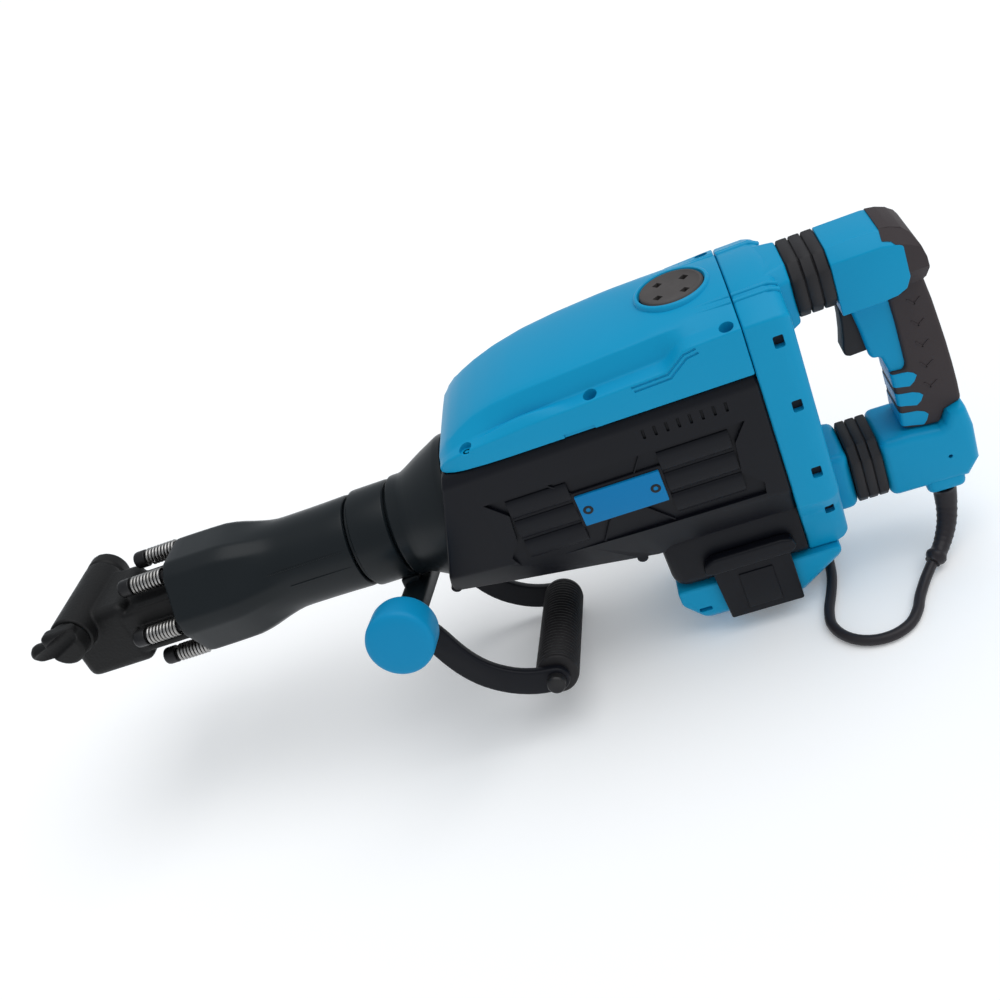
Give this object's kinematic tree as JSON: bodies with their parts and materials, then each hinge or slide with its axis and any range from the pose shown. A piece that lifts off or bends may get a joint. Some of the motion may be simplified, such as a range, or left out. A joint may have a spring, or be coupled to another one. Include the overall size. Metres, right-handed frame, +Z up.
{
  "type": "electric demolition hammer",
  "caption": "Heavy electric demolition hammer with a hex tool socket, sprung nose, D-shaped rear handle with trigger, folding side handle, motor foot and mains lead.",
  "frame": {"origin": "on the floor plane under the centre of the tool's box, measured without the mains lead", "axes": "+X along the tool axis from the nose to the rear handle, +Z up, +Y to the far side, away from the knob of the side handle"},
  "size_m": [0.73, 0.333, 0.2725],
  "materials": {
    "black_paint": "semi-gloss black enamel",
    "black_plastic": "moulded black plastic",
    "blue_plastic": "bright blue moulded plastic, satin",
    "cap_plastic": "dark grey moulded plastic",
    "grey_plastic": "grey moulded plastic",
    "cast_iron": "blackened steel casting, fine grain",
    "black_steel": "black oxide steel",
    "bright_steel": "ground steel",
    "spring_steel": "bright drawn wire",
    "lamination_steel": "stacked motor steel",
    "grip_rubber": "warm dark grey soft rubber",
    "black_rubber": "black moulded rubber"
  },
  "bodies": {
    "tool": {"nose_cover": "black_paint", "tool_holder": "cast_iron", "nose_bolt_1": "black_steel", "nose_bolt_2": "black_steel", "nose_bolt_3": "black_steel", "nose_bolt_4": "black_steel", "nose_bolt_5": "black_steel", "nose_bolt_6": "black_steel", "nose_spring_1": "spring_steel", "nose_spring_2": "spring_steel", "nose_spring_3": "spring_steel", "nose_spring_4": "spring_steel", "nose_spring_5": "spring_steel", "nose_spring_6": "spring_steel", "cylinder_liner": "bright_steel", "cylinder_case": "black_paint", "main_housing": "black_paint", "top_cover": "blue_plastic", "grease_cap": "cap_plastic", "rear_cover": "blue_plastic", "motor_cap": "blue_plastic", "brush_cover_near": "black_plastic", "brush_cover_far": "black_plastic", "name_plate": "blue_plastic", "stator": "lamination_steel", "upper_bearing": "bright_steel", "lower_bearing": "bright_steel", "upper_guide_rod": "bright_steel", "lower_guide_rod": "bright_steel", "upper_damper_spring": "spring_steel", "lower_damper_spring": "spring_steel", "upper_bellows": "black_rubber", "lower_bellows": "black_rubber"},
    "stop_lever": {"stop_lever": "cast_iron"},
    "anvil": {"impact_bolt": "bright_steel"},
    "ram": {"striker": "bright_steel"},
    "piston": {"piston": "bright_steel", "wrist_pin": "bright_steel", "connecting_rod": "bright_steel", "crank_pin": "bright_steel"},
    "crank": {"crankshaft": "black_steel", "crank_gear": "bright_steel"},
    "armature": {"armature": "lamination_steel", "motor_fan": "grey_plastic"},
    "side_clamp": {"handle_clamp": "black_paint", "clamp_bolt": "black_steel"},
    "side_loop": {"handle_arm_near": "black_paint", "handle_arm_far": "black_paint", "grip_rod": "black_steel", "grip_sleeve": "black_rubber"},
    "knob": {"clamp_knob": "blue_plastic"},
    "handle": {"handle_frame": "blue_plastic", "grip_rubber": "grip_rubber", "switch_body": "black_plastic", "strain_relief": "black_rubber", "cord_run": "black_rubber", "cord_coil": "black_rubber", "plug": "black_rubber"},
    "trigger": {"trigger": "black_plastic"}
  },
  "joints": [
    {"name": "stop_lever_turn", "type": "hinge", "parent": "tool", "child": "stop_lever", "pos_m": [-0.331, 0.02857, 0.17742], "axis": [0, 0.9962, -0.0872], "range_deg": [0, 180]},
    {"name": "anvil_slide", "type": "slide", "parent": "tool", "child": "anvil", "axis": [1, 0, 0], "range_m": [0, 0.008]},
    {"name": "piston_slide", "type": "slide", "parent": "tool", "child": "piston", "axis": [1, 0, 0], "range_m": [0, 0.054]},
    {"name": "ram_slide", "type": "slide", "parent": "tool", "child": "ram", "axis": [1, 0, 0], "range_m": [0, 0.054]},
    {"name": "crank_spin", "type": "hinge", "parent": "tool", "child": "crank", "pos_m": [0.141, 0.0267, 0.126], "axis": [0, 0, 1], "continuous": true},
    {"name": "armature_spin", "type": "hinge", "parent": "tool", "child": "armature", "pos_m": [0.191, 0.0267, 0.072], "axis": [0, 0, 1], "continuous": true},
    {"name": "side_clamp_swing", "type": "hinge", "parent": "tool", "child": "side_clamp", "pos_m": [-0.072, 0.0267, 0.156], "axis": [1, 0, 0], "range_deg": [-90, 90]},
    {"name": "side_loop_tilt", "type": "hinge", "parent": "side_clamp", "child": "side_loop", "pos_m": [-0.06, 0.01545, 0.11088], "axis": [0, 0.9703, -0.2419], "range_deg": [0, 90]},
    {"name": "knob_turn", "type": "hinge", "parent": "side_clamp", "child": "knob", "pos_m": [-0.06, -0.07673, 0.13386], "axis": [0, -0.9703, 0.2419], "continuous": true},
    {"name": "handle_slide", "type": "slide", "parent": "tool", "child": "handle", "axis": [1, 0, 0], "range_m": [-0.006, 0], "stiffness_N_per_m": 15000, "springref_m": 0.001, "deforming": ["upper_bellows", "lower_bellows", "upper_damper_spring", "lower_damper_spring"]},
    {"name": "trigger_pull", "type": "hinge", "parent": "handle", "child": "trigger", "pos_m": [0.306, 0.0267, 0.2135], "axis": [0, 1, 0], "range_deg": [-9, 0], "stiffness_Nm_per_rad": 1.5, "springref_deg": 17.19}
  ],
  "couplings": [
    {"joint": "armature_spin", "follows": "crank_spin", "ratio": -5},
    {"joint": "ram_slide", "follows": "piston_slide", "ratio": 1}
  ]
}
